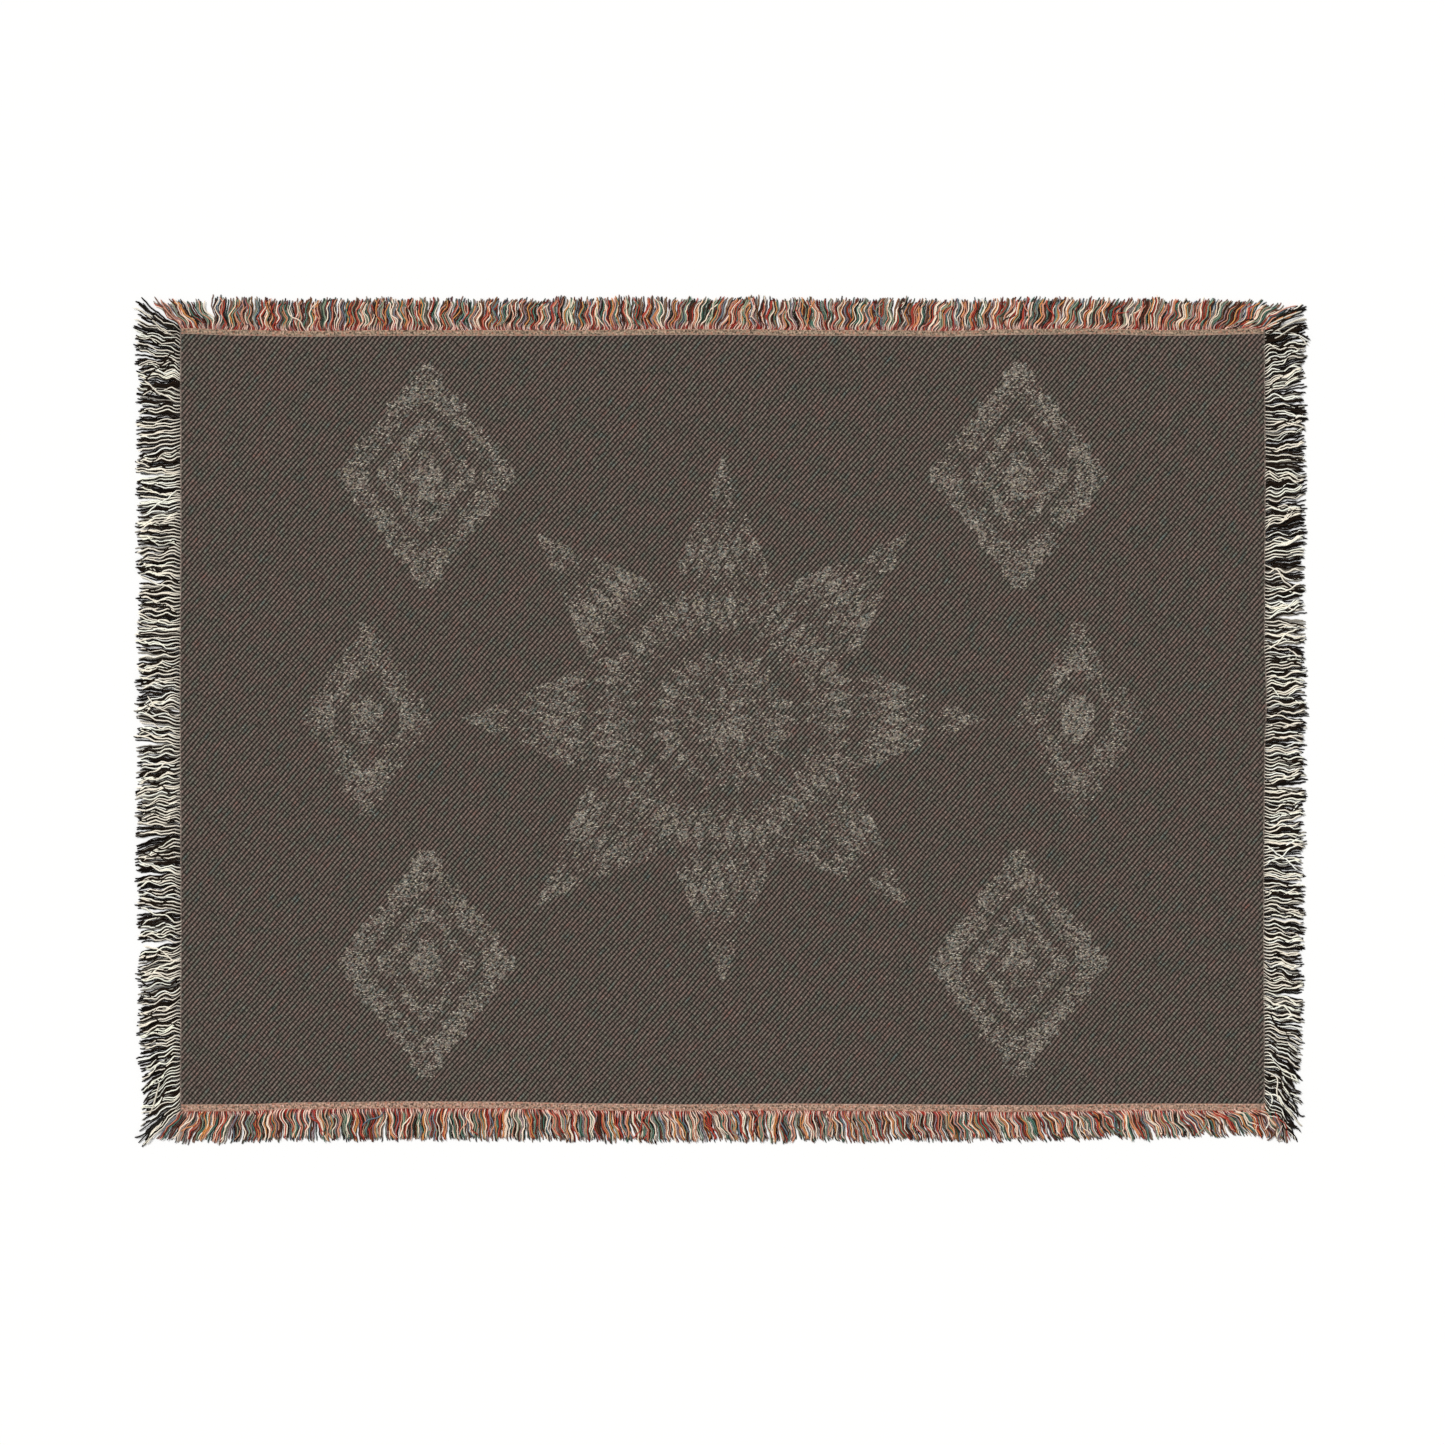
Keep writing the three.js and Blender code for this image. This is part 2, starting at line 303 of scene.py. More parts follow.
# %% Sheets of cloth
UNEVEN = 0.22  # how far the face rises and falls
SMOOTH_UP_TO = 50  # degrees between faces that are still shaded as one surface


def unevenness(x, y):
    """A slow rise and fall of the cloth's face, from about -1 to 1."""
    total = np.sin(x / 71 + 1.3) * np.sin(y / 63 - 0.4) + 0.6 * np.sin(x / 39 - y / 47 + 2.1)
    return (total + 0.4 * np.sin(x / 23 + y / 19)) / 2


def sheet_of(name, columns, rows, shape):
    """A grid whose points, as shares from 0 to 1 across and up, are placed by shape."""
    nothing_selected()
    bpy.ops.mesh.primitive_grid_add(x_subdivisions=columns, y_subdivisions=rows, size=1)
    piece = bpy.context.object
    piece.name = piece.data.name = name
    points = np.empty(len(piece.data.vertices) * 3)
    piece.data.vertices.foreach_get("co", points)
    shares = points.reshape(-1, 3)[:, :2] + 0.5
    placed = np.stack(shape(shares[:, 0], shares[:, 1]), 1) / 1000
    piece.data.vertices.foreach_set("co", placed.ravel())
    piece.data.update()
    return piece


def thicken(piece, thickness, reverse=None):
    """Gives a sheet its thickness, downwards from its face, and its reverse another finish."""
    modifier = piece.modifiers.new("thickness", "SOLIDIFY")
    modifier.thickness = thickness / 1000
    modifier.offset = -1
    if reverse is not None:
        modifier.material_offset = reverse
        modifier.material_offset_rim = 0
    nothing_selected()
    piece.select_set(True)
    bpy.context.view_layer.objects.active = piece
    bpy.ops.object.modifier_apply(modifier=modifier.name)
    bpy.ops.object.shade_smooth_by_angle(angle=math.radians(SMOOTH_UP_TO))


# %% [markdown]
# A piece's colours can be carried in a picture, and a map says which part of the picture belongs to
# which face. The map of a flat piece is laid out here. The face gets most of the room, the reverse a
# little, and the four edges thin strips between them.

# %% A map for flat pieces
FACE_START, FACE_ROOM = 0.32, 0.67  # where the face starts up the map, and its share of it
REVERSE_START, REVERSE_ROOM = 0.01, 0.21
EDGE_START, EDGE_STEP, EDGE_ROOM = 0.24, 0.017, 0.014


def bake_map(piece, folds=1):
    """A map for a flat piece. A long narrow one is cut into rows that lie one above the other."""
    mesh = piece.data
    count = len(mesh.polygons)
    sizes, centres, normals = np.empty(count, int), np.empty(count * 3), np.empty(count * 3)
    mesh.polygons.foreach_get("loop_total", sizes)
    mesh.polygons.foreach_get("center", centres)
    mesh.polygons.foreach_get("normal", normals)
    corners, points = np.empty(len(mesh.loops), int), np.empty(len(mesh.vertices) * 3)
    mesh.loops.foreach_get("vertex_index", corners)
    mesh.vertices.foreach_get("co", points)
    points, centres, normals = (a.reshape(-1, 3) for a in (points, centres, normals))
    lowest, reach = points.min(0), points.max(0) - points.min(0)
    length = int(np.argmax(reach[:2]))
    spots, faces = ((points[corners] - lowest) / reach), np.repeat(np.arange(count), sizes)
    row = np.floor((centres - lowest)[:, length] / reach[length] * folds).clip(0, folds - 1)[faces]
    u, across, up = spots[:, length] * folds - row, spots[:, 1 - length], spots[:, 2]
    facing = normals[faces]
    side_on = np.abs(facing[:, 2]) < 0.5
    end_on = side_on & (np.abs(facing[:, length]) > np.abs(facing[:, 1 - length]))
    ahead = np.where(end_on, facing[:, length], facing[:, 1 - length]) > 0
    u = np.where(end_on, across, u)
    strip = EDGE_START + EDGE_STEP * (end_on * 2 + ahead) + EDGE_ROOM * up
    face, reverse = FACE_START + FACE_ROOM * across, REVERSE_START + REVERSE_ROOM * across
    v = np.where(side_on, strip, np.where(facing[:, 2] > 0, face, reverse))
    spread = np.stack([0.004 + 0.992 * u.clip(0, 1), (row + v) / folds], 1)
    mesh.uv_layers.new(name="OFBake").data.foreach_set("uv", spread.ravel())


# %% Lay the main cloth
COLUMNS, ROWS = 168, 120  # faces of the grid, about seven millimetres each


def cloth_shape(across, up):
    x, y = (across - 0.5) * WIDTH, (up - 0.5) * HEIGHT
    placed_x = x + across * eased(EDGES["right"], y) - (1 - across) * eased(EDGES["left"], y)
    placed_y = y + up * eased(EDGES["top"], x) - (1 - up) * eased(EDGES["bottom"], x)
    return placed_x, placed_y, FACE + UNEVEN * unevenness(x, y)


cloth = sheet_of("main_cloth", COLUMNS, ROWS, cloth_shape)
print("main cloth:", len(cloth.data.polygons), "faces on its face side")

# %% [markdown]
# The ground is a twill: each rib climbs one thread to the side with every pick, with four threads to a rib.
# So a rib is a wave along a slanted line. The threads that cross it show as a finer hatch over its back,
# the other way. The warp has many colours, and one or another comes to the face for a centimetre or so
# along a rib, brownish red here and greenish grey there.
#
# The motifs are woven by letting light threads come up more often, thread by thread, so their edges are
# never sharp. A number from 0 to 1 says how light the motif is at a place. Each short float of light
# thread, shifted a little from row to row as in brickwork, then throws a die against it.

# %% The weave's ribs
RIB_ACROSS = 5.4  # millimetres from rib to rib along a pick
RIB_UP = 6.28  # and along a warp thread
SLANT = math.atan2(RIB_UP, RIB_ACROSS)
END = 1.35  # width of a warp thread
PICK = 1.57  # height of a pick
FLOAT_LONG = 2.1  # a light thread where it floats over its neighbours
FLOAT_HIGH = 1.2
FLOAT_SHIFT = 0.37  # from row to row, as a share of its length


def ribs(f, x, y):
    """The ribs' height from 0 to 1, and places along and across them in millimetres."""
    wander = f.noise(x / 60, y / 60, 4.0) * 0.7 + f.noise(x / 7, y / 7, 9.0) * 0.3
    turns = x / RIB_ACROSS - y / RIB_UP + wander
    along = x * math.cos(SLANT) + y * math.sin(SLANT)
    across = x * math.sin(SLANT) - y * math.cos(SLANT)
    return turns.wave(), along, across


print("ribs", round(1 / math.hypot(1 / RIB_ACROSS, 1 / RIB_UP), 1), "mm apart, at",
      round(math.degrees(SLANT)), "degrees")

# %% A star of small diamonds
STAR_REACH = 296
STAR_SIDE = STAR_REACH / (2 * math.cos(math.pi / 8))
PATCH = STAR_SIDE / 7
STAR_TONES = [0.62, 0.3, 0.5, 0.12, 0.34, 0.56, 0.22, 0.46, 0.64, 0.34, 0.14, 0.44, 0.6]
LINE = (0.02, 0.09)  # shares of a small diamond: dark at its edge up to the first, gone past the second


def rings(f, ring, tones):
    """The tone of each ring, from the middle out."""
    stops = [(row / len(tones), (tone, tone, tone, 1)) for row, tone in enumerate(tones)]
    return f.ramp(ring, stops, stepped=True) * ring.maths("LESS_THAN", 1.0)


def star_tone(f, x, y):
    """How light an eight-pointed star of small diamonds is, ring by ring, and 0 outside it."""
    reach = (x * x + y * y).maths("SQRT")
    turn = y.maths("ARCTAN2", x) + (math.pi / 8 + 2 * math.pi)
    turn = turn.maths("MODULO", math.pi / 4)
    second = reach * turn.maths("SINE")
    first = reach * turn.maths("COSINE") - second
    second = second * math.sqrt(2)
    inside = first.maths("MAXIMUM", second).maths("LESS_THAN", STAR_SIDE)
    rows = (first / PATCH).maths("FLOOR") + (second / PATCH).maths("FLOOR")
    tone = rings(f, (rows + 0.5) / len(STAR_TONES), STAR_TONES)
    from_line = (first / PATCH).maths("PINGPONG", 0.5)
    from_line = from_line.maths("MINIMUM", (second / PATCH).maths("PINGPONG", 0.5))
    return tone * inside * from_line.between(*LINE)


print("star of", round(2 * STAR_REACH), "mm, in diamonds with sides of", round(PATCH, 1), "mm")

# %% The whole woven design
STEP = 9  # of a stepped outline
CORNER_DIAMOND = {"middle": (330, 272), "size": (94, 120), "tones": [0.6, 0.2, 0.5, 0.12, 0.42, 0.56]}
SIDE_DIAMOND = {"middle": (396, 0), "size": (66, 100), "tones": [0.56, 0.14, 0.5, 0.3]}


def diamond_tone(f, x, y, middle, size, tones):
    """A stepped diamond at each mirrored place of its middle, in rings from the middle out."""
    aside = (x.maths("ABSOLUTE") - middle[0]).maths("ABSOLUTE")
    above = (y.maths("ABSOLUTE") - middle[1]).maths("ABSOLUTE")
    ring = (aside / STEP).maths("FLOOR") * (STEP / size[0])
    ring = ring + (above / STEP).maths("FLOOR") * (STEP / size[1])
    return rings(f, ring, tones)


def design(f, x, y):
    """How light the woven design is, from 0 on the plain ground. Its outlines waver a little, and it is
    fainter in some places than in others."""
    across = x + (f.noise(x / 3, y / 3, 2.0, 1.0) * 5 - 2.5)
    up = y + (f.noise(x / 3, y / 3, 7.0, 1.0) * 5 - 2.5)
    tone = star_tone(f, across, up)
    corner = diamond_tone(f, across, up, **CORNER_DIAMOND)
    beside = diamond_tone(f, across, up, **SIDE_DIAMOND)
    tone = tone.maths("MAXIMUM", corner).maths("MAXIMUM", beside)
    faded = f.noise(x / 46, y / 46, 12.0, 3.0).between(0.3, 0.62)
    return tone * (faded * 0.6 + 0.4)


print("diamonds at", CORNER_DIAMOND["middle"], "and", SIDE_DIAMOND["middle"], "mm, mirrored")

# %% Colours of the cloth's threads
THREAD_COLOURS = [  # a place on the noise, and the colour of the threads there
    (0.28, colour(98, 108, 103)),
    (0.40, colour(111, 108, 96)),
    (0.52, colour(116, 102, 94)),
    (0.64, colour(120, 100, 92)),
    (0.76, colour(130, 93, 83)),
]
LIGHT_THREADS = [  # where a share of the dice starts, and the light threads' colour in it
    (0.0, colour(182, 172, 156)),
    (0.2, colour(142, 134, 124)),
    (0.5, colour(150, 132, 121)),
    (0.64, colour(120, 125, 119)),
    (0.84, colour(156, 146, 122)),
    (0.93, colour(198, 190, 175)),
]
GROOVE_SHADE = colour(36, 29, 23)  # painted shade in the grooves between the ribs
DARK_THREAD = colour(36, 32, 29)
print("ground threads:", len(THREAD_COLOURS), "colours, light threads:", len(LIGHT_THREADS))


# %% The twill ground
def ground_weave(f, x, y, rib, along, across):
    """The plain ground's colour, its grain, and the fine relief of its threads."""
    patch = f.noise(along / 12, across / 5.4, 0.0, 1.0)
    broad = f.noise(x / 24, y / 24, 20.0)
    tint = f.ramp(patch * 0.6 + broad * 0.4, THREAD_COLOURS)
    thread = f.chance(x / END, y / PICK, 1.0)
    grain = f.noise(along / 1.5, across / 1.9, 11.0, 1.0)
    worn = f.noise(along / 4.5, across / 3.6, 5.0, 1.0)
    hatch = (along / 2.15 + f.noise(x / 14, y / 14, 8.0)).wave()
    cross = (along / 4.3 + f.noise(x / 20, y / 20, 14.0)).wave()
    # the hatch term is painted light: the crossing threads are lighter where their relief rises
    level = grain * 1.7 + worn * 1.1 + thread * 0.2 + hatch * 0.34 + cross * 0.36 + broad * 0.3 - 1.13
    # painted shade: the colour darkens into the grooves between the ribs, where the relief is low
    back = f.mix(GROOVE_SHADE, tint, rib.between(0.06, 0.94))
    relief = rib * 0.7 + hatch * 0.12 + thread * 0.12
    return f.scaled(back, level.maths("MAXIMUM", 0.15)), grain, relief


# %% The finish of the main cloth
def cloth_finish(name, turned_over=False):
    f = Finish(name, roughness=0.94, sheen=0.04)
    x, y = f.parts(f.node("ShaderNodeTexCoord", output=3))  # Object coordinates, in metres
    x, y = x * 1000, y * 1000
    rib, along, across = ribs(f, x, y)
    ground, grain, relief = ground_weave(f, x, y, rib, along, across)
    tone = design(f, x, y)
    if turned_over:
        tone = 0.66 - tone * 0.6
    row = y / FLOAT_HIGH
    place = x / FLOAT_LONG + row.maths("FLOOR") * FLOAT_SHIFT
    bead = (1 - place.wave()) * (1 - row.wave())
    die = f.chance(place, row, 31.0) * 0.8 + (1 - rib) * 0.16
    raised = (tone - die).between(-0.1, 0.1)
    light = f.ramp(f.chance(place, row, 57.0), LIGHT_THREADS, stepped=True)
    # bead paints a highlight on the crown of each light float and shade at its ends, following its relief
    light = f.scaled(light, (grain + 0.35) * (bead * 0.9 + 0.8))
    woven = f.mix(ground, light, raised * 0.8)
    stroke = f.noise(along / 6, across / 1.7, 3.0, 1.0).between(0.6, 0.66)
    woven = f.mix(woven, DARK_THREAD, stroke * tone.between(0.2, 0.4) * 0.9)
    return f.paint(woven, relief + raised * bead * 0.4, depth=0.5)


cloth.data.materials.append(cloth_finish("cotton_twill"))
cloth.data.materials.append(cloth_finish("cotton_reverse", turned_over=True))
thicken(cloth, CLOTH, reverse=1)
bake_map(cloth)
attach(cloth, "root")
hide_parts("woven_panel")
print("main cloth with its reverse:", len(cloth.data.polygons), "faces")

# %% [markdown]
# ## Headings and selvedges
#
# Across each end the weaver lays a few plain picks of lighter yarn, which hold the warp. Down each side, a
# narrow selvedge holds the weft. Each is a long narrow sheet that follows the cloth's own edge, made from a
# grid in the same way. Its finish reads a map of its own: distance along the band, and across it.

# %% Bands along the edges
FRINGES = {  # width of each side's band, and how far it runs past the cloth before and after it
    "top": {"strip": 6.3, "ends": (0.0, 0.0)},
    "bottom": {"strip": 7.8, "ends": (0.0, 7.5)},
    "left": {"strip": 1.3, "ends": (7.3, 6.3)},
    "right": {"strip": 1.3, "ends": (7.0, 6.3)},
}


def strip_span(side):
    """Where the band of one side starts and ends, measured along it."""
    before, after = FRINGES[side]["ends"]
    if side in ("top", "bottom"):
        return -WIDTH / 2 - before, WIDTH / 2 + after
    end = -WIDTH / 2 if side == "left" else WIDTH / 2
    down = HEIGHT / 2 + float(eased(EDGES["bottom"], np.array(end)))
    up = HEIGHT / 2 + float(eased(EDGES["top"], np.array(end)))
    return -down - before, up + after


for side in FRINGES:
    print(side, "band from", *(round(place, 1) for place in strip_span(side)), "mm")

# %% A narrow sheet along a side
FOLDS = {"top": 15, "bottom": 15, "left": 11, "right": 11}  # rows that a band's map is cut into
TUCK = 0.5  # how far a band starts in under the main cloth's edge
BAND_THICK = 1.3
HEADING_LOWER, SELVEDGE_LOWER = 0.14, 0.3  # how far they lie below the cloth's face
RIDGE, SINK = 0.1, 0.2  # height of a band's ridges, and how far its outer edge sinks


def band(name, side, ridges):
    """A narrow sheet along one side, with a few low ridges and an outer edge that sinks a little."""
    start, end = strip_span(side)
    width = FRINGES[side]["strip"] + PARTING + TUCK
    lower = HEADING_LOWER if side in ("top", "bottom") else SELVEDGE_LOWER

    def shape(share, out_share):
        along = start + (end - start) * share
        out = eased(EDGES[side], along) - TUCK + width * out_share
        x, y = on_edge(side, along, out)
        rise = RIDGE * np.cos(2 * math.pi * ridges * out_share) - SINK * out_share**3
        return x, y, FACE - lower + UNEVEN * unevenness(x, y) + rise

    piece = sheet_of(name, 20 * FOLDS[side], 4 * ridges, shape)
    mapped = piece.data.uv_layers.new(name="band")
    spots = np.array([piece.data.vertices[loop.vertex_index].co[:2] for loop in piece.data.loops])
    along, out = (spots * 1000).T if side in ("top", "bottom") else (spots * 1000).T[::-1]
    half = HEIGHT / 2 if side in ("top", "bottom") else WIDTH / 2
    out = np.abs(out) - half - eased(EDGES[side], along)
    mapped.data.foreach_set("uv", np.stack([along / 100, out / width], 1).ravel())
    if side in ("bottom", "right"):  # laid out mirrored, so its face looks down: turn it over
        piece.data.flip_normals()
    return piece


# %% [markdown]
# In a plain weave ends and picks cross evenly, and each crossing is a little lighter or darker than the
# next. A line of its own colour runs beside the cloth, and some crossings take the colour of the outer
# edge, most of them at the edge itself.

# %% The finish of the bands
def band_finish(name, shades, picks, line, edge):
    """A plain weave of some picks across, with its line beside the cloth and its outer edge."""
    f = Finish(name, roughness=0.92, sheen=0.06)
    along, out = f.parts(f.node("ShaderNodeUVMap", {"uv_map": "band"}))
    along = along * 100
    wander = f.noise(along / 20, 0.0 * along, 8.0) * 0.1 - 0.05
    patch = f.noise(along / 2.6, (out + wander) * picks * 0.7, 2.0, 1.0)
    base = f.ramp(patch, shades)
    ends = (along / END).wave()
    pick = ((out + wander) * picks).wave()
    grain = f.noise(along / 1.9, out * picks * 0.8, 3.0, 1.0)
    cell = f.chance(along / 2.2, (out + wander) * picks, 5.0)
    # ends and pick paint light on each thread's crown and shade between threads, following the relief;
    # grain and cell vary the tone at random
    level = ends * 0.16 + pick * 0.18 + grain * 3.2 + cell * 0.9 - 1.22
    shade = f.scaled(base, level.maths("MAXIMUM", 0.2))
    shade = f.mix(shade, line, (1 - (out + wander).between(0.08, 0.2)) * 0.6)
    dots = cell.between(0.72, 0.95) * 0.5
    outer = (out + wander).between(0.78, 0.96) * patch.between(0.4, 0.6)
    shade = f.mix(shade, edge, dots.maths("MAXIMUM", outer))
    return f.paint(shade, ends * 0.5 + pick + grain, depth=0.3)


TOP_SHADES = [
    (0.30, colour(132, 100, 82)), (0.40, colour(148, 126, 104)), (0.50, colour(154, 134, 114)),
    (0.60, colour(160, 138, 116)), (0.70, colour(184, 150, 132)),
]
BOTTOM_SHADES = [
    (0.30, colour(146, 106, 88)), (0.40, colour(162, 132, 110)), (0.50, colour(170, 140, 120)),
    (0.60, colour(176, 144, 126)), (0.70, colour(194, 158, 146)),
]
SIDE_SHADES = [
    (0.3, colour(84, 78, 70)), (0.45, colour(116, 106, 97)), (0.55, colour(130, 112, 102)),
    (0.68, colour(166, 150, 138)),
]
TOP_LINE, BOTTOM_LINE, SIDE_LINE = colour(168, 138, 122), colour(180, 148, 130), colour(112, 100, 92)
RED_EDGE, SIDE_EDGE = colour(164, 92, 72), colour(110, 102, 92)

# %% Lay the bands
BANDS = {  # name, ridges across it, and its colours
    "top": ("heading_top", 4, TOP_SHADES, TOP_LINE, RED_EDGE),
    "bottom": ("heading_bottom", 5, BOTTOM_SHADES, BOTTOM_LINE, RED_EDGE),
    "left": ("selvedge_left", 2, SIDE_SHADES, SIDE_LINE, SIDE_EDGE),
    "right": ("selvedge_right", 2, SIDE_SHADES, SIDE_LINE, SIDE_EDGE),
}
bands = {}
for side, (name, ridges, shades, line, edge) in BANDS.items():
    bands[side] = band(name, side, ridges)
    bands[side].data.materials.append(band_finish(name + "_weave", shades, ridges, line, edge))
    thicken(bands[side], BAND_THICK)
    bake_map(bands[side], FOLDS[side])
    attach(bands[side], "root")
    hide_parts("fringe_" + side)
    "warp_fringe" if side in ("top", "bottom") else "weft_fringe"
    print(name, len(bands[side].data.polygons), "faces")

# %% [markdown]
# ## The fringe
#
# The fringe is what is left of the yarns past the weave: the coloured warp at top and bottom, the black and
# cream weft at the sides. Each yarn is its own small tube. One is modelled upright, and copied
# along every yarn's path, all the yarns of a side in one mesh.
#
# A yarn first lies as the fringe was combed there, which these tables give in degrees at its root and at
# its tip. It keeps the crimp of the weave, and waves from side to side together with the yarns around it.
# It clings to its neighbours in a bundle, and here and there it strays across the others. At the sides the
# tips are tangled more.

# %% How the fringe lies
LEANS = {  # along, lean at the root, lean at the tip
    "top": [
        (-603, -50, -38), (-585, -34, -24), (-550, -8, 2), (-450, -4, 10), (-350, -7, 2),
        (-250, 0, 14), (-100, -2, 14), (-10, 4, 20), (90, -2, 3), (190, 0, 12), (300, 14, 18),
        (430, 16, 24), (530, 26, 24), (572, 30, 26), (588, 40, 34), (603, 60, 56),
    ],
    "bottom": [
        (-603, -42, -40), (-580, -20, -28), (-540, -6, -10), (-450, 1, 4), (-350, -5, -2),
        (-250, -4, 1), (-150, 10, 10), (-60, 16, 15), (30, 9, 12), (110, 6, 12), (200, 14, 22),
        (300, 22, 28), (400, 24, 24), (490, 34, 30), (570, 42, 26), (611, 56, 2),
    ],
    "left": [
        (-435, -36, -48), (-412, -28, -38), (-385, -22, -28), (-350, -8, -10), (-200, -2, -9),
        (-100, 0, -4), (0, 2, 2), (110, 2, 10), (220, 0, -5), (290, -4, -6), (350, 2, 4),
        (412, 8, 8), (437, 28, 48),
    ],
    "right": [
        (-430, -24, -78), (-402, -17, -56), (-374, -13, -32), (-345, -8, -9), (-290, -3, 0),
        (-190, -8, -7), (-100, 0, 5), (0, -2, -6), (100, 1, 1), (210, 3, 8), (310, 5, 5),
        (390, 10, 6), (418, 20, 16), (437, 32, 30),
    ],
}
PARTINGS = {  # where yarns lie away from each other: along, opening in degrees
    "top": [(-565, 13), (118, 3), (336, 3)],
    "bottom": [(-588, 4), (-72, 3)],
    "left": [(-374, 7), (-248, 7), (334, 5)],
    "right": [(-220, 6), (-23, 3), (34, 4)],
}
# Radius, width of a bundle and reach are in millimetres, and kink, the swing of a wave, in degrees.
WARP = {"count": 1490, "radius": 0.68, "bundle": (3, 8), "tangle": 1}
WEFT = {"count": 940, "radius": 0.8, "bundle": (4, 12), "tangle": 1.8}
YARNS = {
    "top": {**WARP, "reach": 36, "kink": (18, 46), "seed": 11},
    "bottom": {**WARP, "reach": 35, "kink": (14, 38), "seed": 12},
    "left": {**WEFT, "reach": 47.5, "kink": (10, 40), "seed": 13},
    "right": {**WEFT, "reach": 44, "kink": (10, 40), "seed": 14},
}
print("yarns in all:", sum(lot["count"] for lot in YARNS.values()))

# %% One yarn, modelled upright
YARN_STEPS = 16  # lengths between its rings of points
YARN_SIDES = 4
TIP_WIDTH = 0.62  # of its full width


def model_yarn():
    """Points and faces of a straight tube, one unit high for each step."""
    nothing_selected()
    bpy.ops.mesh.primitive_circle_add(
        vertices=YARN_SIDES, radius=1, fill_type="NGON", location=(0, 0, 0))
    yarn = bpy.context.object
    bpy.ops.object.mode_set(mode="EDIT")
    bpy.ops.mesh.select_all(action="SELECT")
    for _ in range(YARN_STEPS):
        bpy.ops.mesh.extrude_region_move(TRANSFORM_OT_translate={"value": (0, 0, 1)})
    bpy.ops.transform.resize(value=(TIP_WIDTH, TIP_WIDTH, 1))
    bpy.ops.mesh.select_all(action="SELECT")
    bpy.ops.mesh.normals_make_consistent(inside=False)
    bpy.ops.object.mode_set(mode="OBJECT")
    points = np.array([v.co[:] for v in yarn.data.vertices])
    faces = [list(face.vertices) for face in yarn.data.polygons]
    bpy.data.objects.remove(yarn)
    return points, faces


yarn_points, yarn_faces = model_yarn()
yarn_rings = np.rint(yarn_points[:, 2]).astype(int)  # the ring that each point is on
yarn_shares = yarn_rings / YARN_STEPS  # and how far along the yarn that is, from 0 to 1
print("one yarn:", len(yarn_points), "points,", len(yarn_faces), "faces")


# %% Bundles of yarns
def bundles(along, widths, rng):
    """Bundles of uneven width: each yarn's bundle, its middle, and how many edges there are."""
    edges = [along.min() - 1]
    while edges[-1] < along.max():
        edges.append(edges[-1] + rng.uniform(*widths))
    edges = np.array(edges)
    number = np.searchsorted(edges, along) - 1
    return number, (edges[number] + edges[number + 1]) / 2, len(edges)


def drift(along, every, low, high, rng):
    """A value that wanders slowly along the side, so that yarns near each other have nearly the same."""
    places = np.arange(along.min() - every, along.max() + 2 * every, every)
    return np.interp(along, places, rng.uniform(low, high, len(places)))


def opening(side, middle):
    """Degrees by which the fringe leans away from the partings nearby."""
    push = np.zeros(len(middle))
    for at, degrees in PARTINGS[side]:
        push += np.sign(middle - at) * degrees * 0.8 * np.exp(-np.abs(middle - at) / 22)
    return push


print("partings:", sum(len(places) for places in PARTINGS.values()))

# %% [markdown]
# Every second yarn lies on top, and goes its own way with its bundle. The others lie under it, close to the
# floor, and keep together, so that the fringe has depth but hardly lets the floor show through. All that
# chance decides about how a yarn lies is drawn first, from seeded dice that fall the same way each time.

# %% The habits of each yarn
CORNER_LONGER = 0.22  # share by which the yarns are longer at a corner
CORNER_SPAN = 20  # how fast that fades along the side
SHARE_ASTRAY = 0.06  # of the yarns on top


def habits_of(side, rng):
    """All that sets how the yarns of a side lie, with a value for each yarn."""
    lot, count = YARNS[side], YARNS[side]["count"]
    start, end = strip_span(side)
    along = np.sort(np.linspace(start + 0.8, end - 0.8, count) + rng.normal(0, 0.2, count))
    over = np.arange(count) % 2 == 0
    unruly, calm = np.where(over, 1.0, 0.3), np.where(over, 1.0, 0.45)
    number, middle, many = bundles(along, lot["bundle"], rng)
    stray = over & (rng.random(count) < SHARE_ASTRAY)
    reach = lot["reach"] * rng.uniform(0.96, 1.04, many)[number] * rng.uniform(0.9, 1.06, count)
    from_end = np.minimum(along - start, end - along)
    reach = reach * (1 + CORNER_LONGER * np.exp(-from_end / CORNER_SPAN))
    aside = (rng.normal(0, 2.2, many)[number] + rng.normal(0, 1.3, count)) * unruly
    aside = aside + drift(along, 17, -8, 8, rng) * calm + stray * rng.normal(0, 24, count)
    late_aside = (rng.normal(0, 7, many)[number] + rng.normal(0, 5, count)) * unruly * lot["tangle"]
    late_aside = late_aside + drift(along, 21, -10, 10, rng) * calm
    cling = rng.uniform(0.1, 0.55, many)[number] * unruly
    kink = drift(along, 12, *lot["kink"], rng) * rng.uniform(0.85, 1.15, count) * calm
    kink_length = drift(along, 15, 19, 28, rng)
    phase = along / 31 + drift(along, 13, -1.3, 1.3, rng)
    phase = phase + (rng.normal(0, 0.35, many)[number] + rng.normal(0, 0.25, count)) * unruly
    crimp = rng.uniform(0.15, 0.5, count)
    crimp_length = rng.uniform(7, 10, many)[number]
    layer = np.where(over, rng.uniform(1.1, 2.0, many)[number], 0.0) + stray * 0.6
    return SimpleNamespace(
        along=along, over=over, middle=middle, reach=reach, cling=cling, layer=layer, phase=phase,
        aside=aside, late_aside=late_aside, kink=kink, kink_length=kink_length,
        crimp=crimp, crimp_length=crimp_length,
    )


# %% [markdown]
# A path is walked in short steps. At each step the yarn turns to its heading there, which is the lean of
# the fringe, its own turn aside and its wave, and goes on. Its crimp and its own turn grow from the root.

# %% Walk the path of each yarn
ROOT_INSIDE = 2.2  # a yarn starts this far inside its band
LOWEST = 0.55  # height of a path, at least


